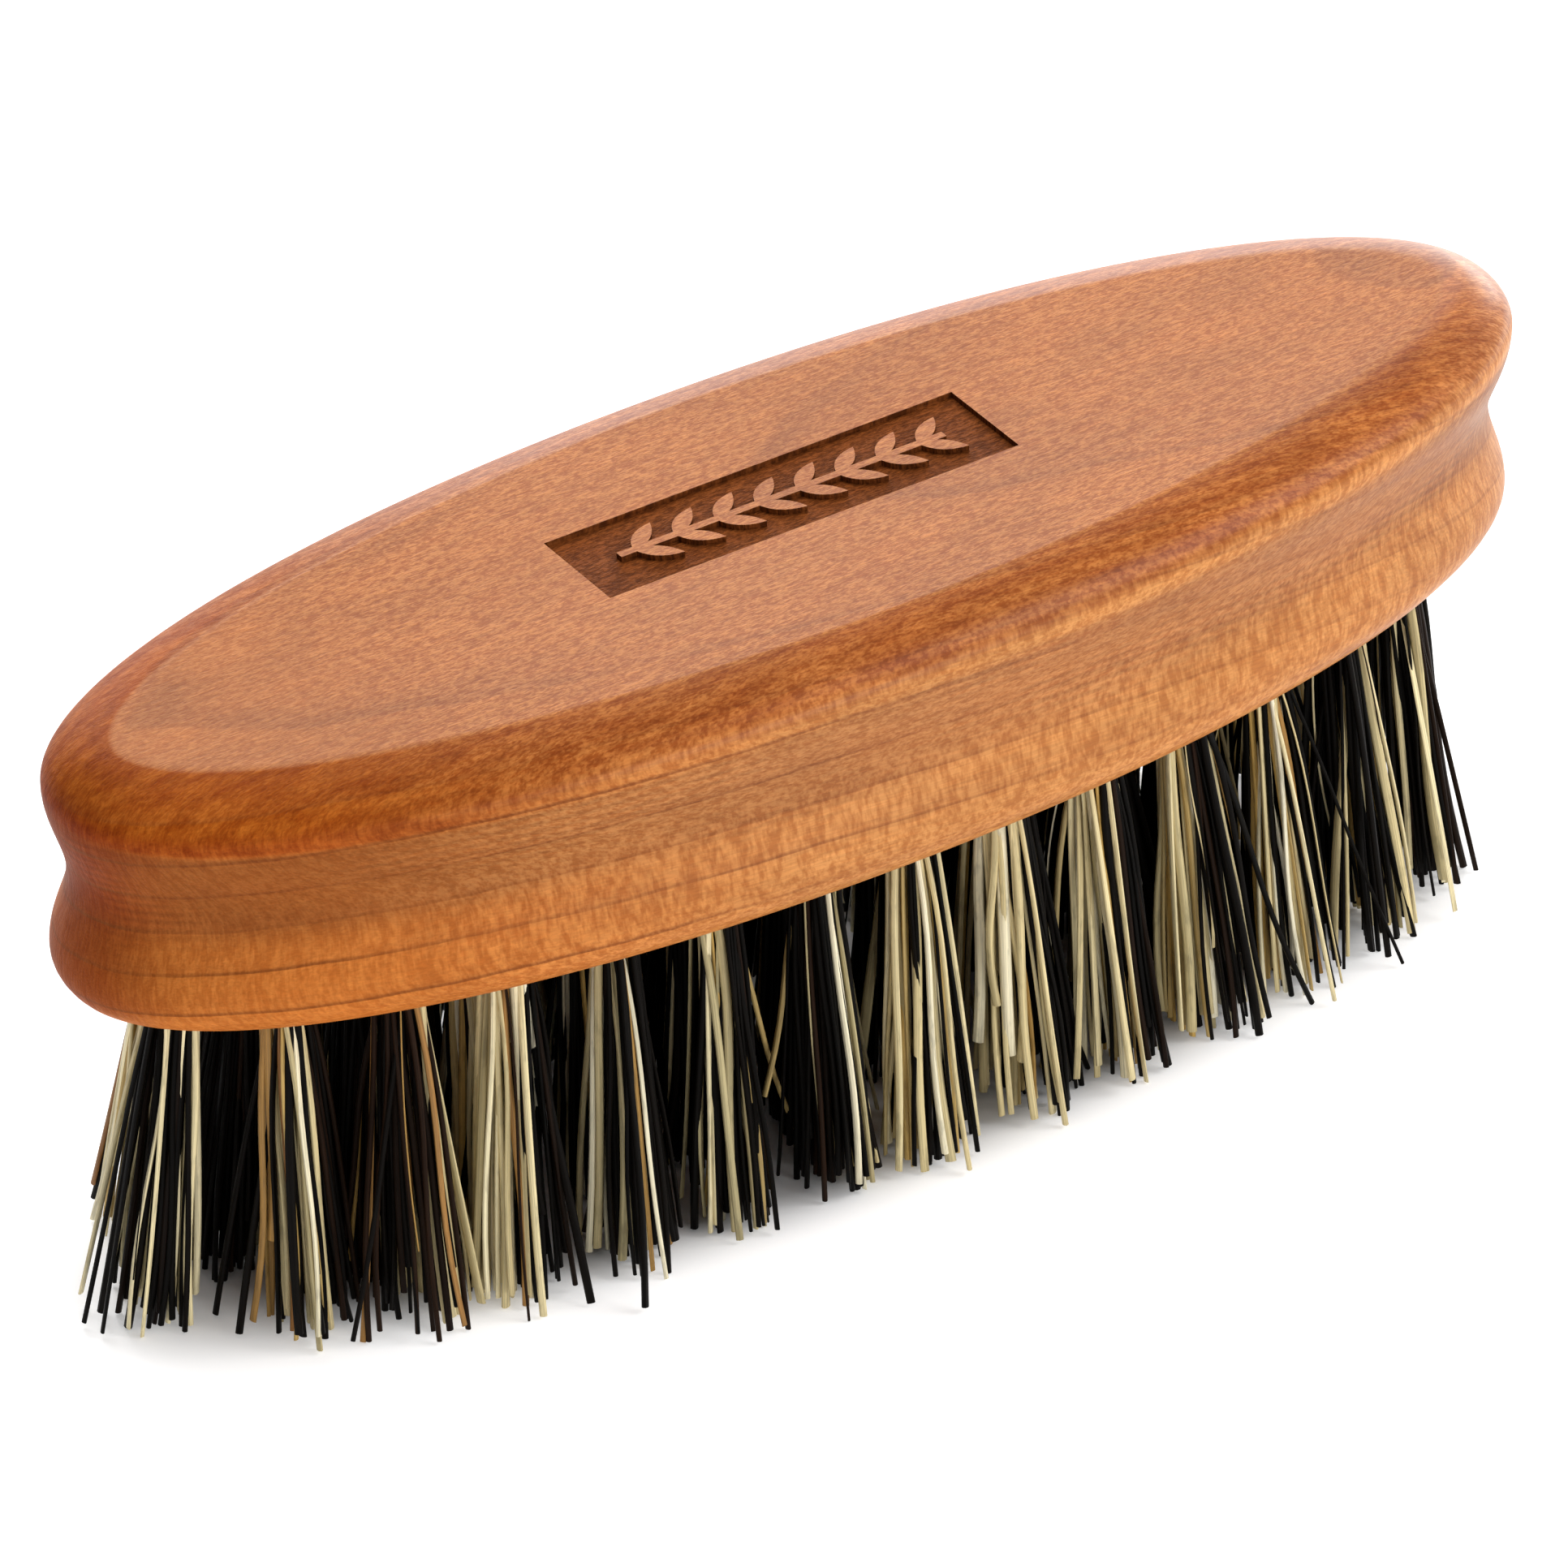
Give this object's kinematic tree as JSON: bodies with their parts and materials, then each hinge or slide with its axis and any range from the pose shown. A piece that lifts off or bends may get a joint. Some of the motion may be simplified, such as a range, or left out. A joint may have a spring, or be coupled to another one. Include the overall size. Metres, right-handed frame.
{
  "type": "beard brush",
  "caption": "Oval wooden hand brush with a finger groove round its side and stiff mixed natural fibre tufts set in its flat underside.",
  "frame": {"origin": "middle of the brush on the surface it stands on, under the centre of the stock, at the height of the tuft tips", "axes": "+X along the length of the brush, +Y across it, +Z from the tuft tips up to the flat back of the stock"},
  "size_m": [0.11, 0.036, 0.0419],
  "materials": {
    "pear_wood": "oiled satin fruitwood",
    "dark_fibre": "stiff black natural fibre, slightly glossy",
    "pale_fibre": "stiff straw-coloured natural fibre, satin",
    "anchor_wire": "flat drawn wire, unpolished"
  },
  "bodies": {
    "root": {"stock": "pear_wood", "outer_tuft_01": "pale_fibre", "outer_tuft_02": "dark_fibre", "outer_tuft_03": "pale_fibre", "outer_tuft_04": "dark_fibre", "outer_tuft_05": "dark_fibre", "outer_tuft_06": "pale_fibre", "outer_tuft_07": "dark_fibre", "outer_tuft_08": "pale_fibre", "outer_tuft_09": "dark_fibre", "outer_tuft_10": "dark_fibre", "outer_tuft_11": "pale_fibre", "outer_tuft_12": "dark_fibre", "outer_tuft_13": "pale_fibre", "outer_tuft_14": "dark_fibre", "outer_tuft_15": "dark_fibre", "outer_tuft_16": "pale_fibre", "outer_tuft_17": "dark_fibre", "outer_tuft_18": "pale_fibre", "outer_tuft_19": "dark_fibre", "outer_tuft_20": "dark_fibre", "outer_tuft_21": "pale_fibre", "outer_tuft_22": "dark_fibre", "outer_tuft_23": "pale_fibre", "outer_tuft_24": "dark_fibre", "outer_tuft_25": "dark_fibre", "outer_tuft_26": "pale_fibre", "outer_tuft_27": "dark_fibre", "outer_tuft_28": "pale_fibre", "middle_tuft_01": "dark_fibre", "middle_tuft_02": "dark_fibre", "middle_tuft_03": "pale_fibre", "middle_tuft_04": "dark_fibre", "middle_tuft_05": "pale_fibre", "middle_tuft_06": "dark_fibre", "middle_tuft_07": "dark_fibre", "middle_tuft_08": "pale_fibre", "middle_tuft_09": "dark_fibre", "middle_tuft_10": "pale_fibre", "middle_tuft_11": "dark_fibre", "middle_tuft_12": "dark_fibre", "middle_tuft_13": "pale_fibre", "middle_tuft_14": "dark_fibre", "middle_tuft_15": "pale_fibre", "middle_tuft_16": "dark_fibre", "middle_tuft_17": "dark_fibre", "middle_tuft_18": "pale_fibre", "middle_tuft_19": "dark_fibre", "middle_tuft_20": "pale_fibre", "middle_tuft_21": "dark_fibre", "middle_tuft_22": "dark_fibre", "centre_tuft_1": "pale_fibre", "centre_tuft_2": "dark_fibre", "centre_tuft_3": "pale_fibre", "centre_tuft_4": "dark_fibre", "centre_tuft_5": "dark_fibre", "centre_tuft_6": "pale_fibre", "centre_tuft_7": "dark_fibre", "centre_tuft_8": "pale_fibre", "centre_tuft_9": "dark_fibre"}
  },
  "joints": []
}
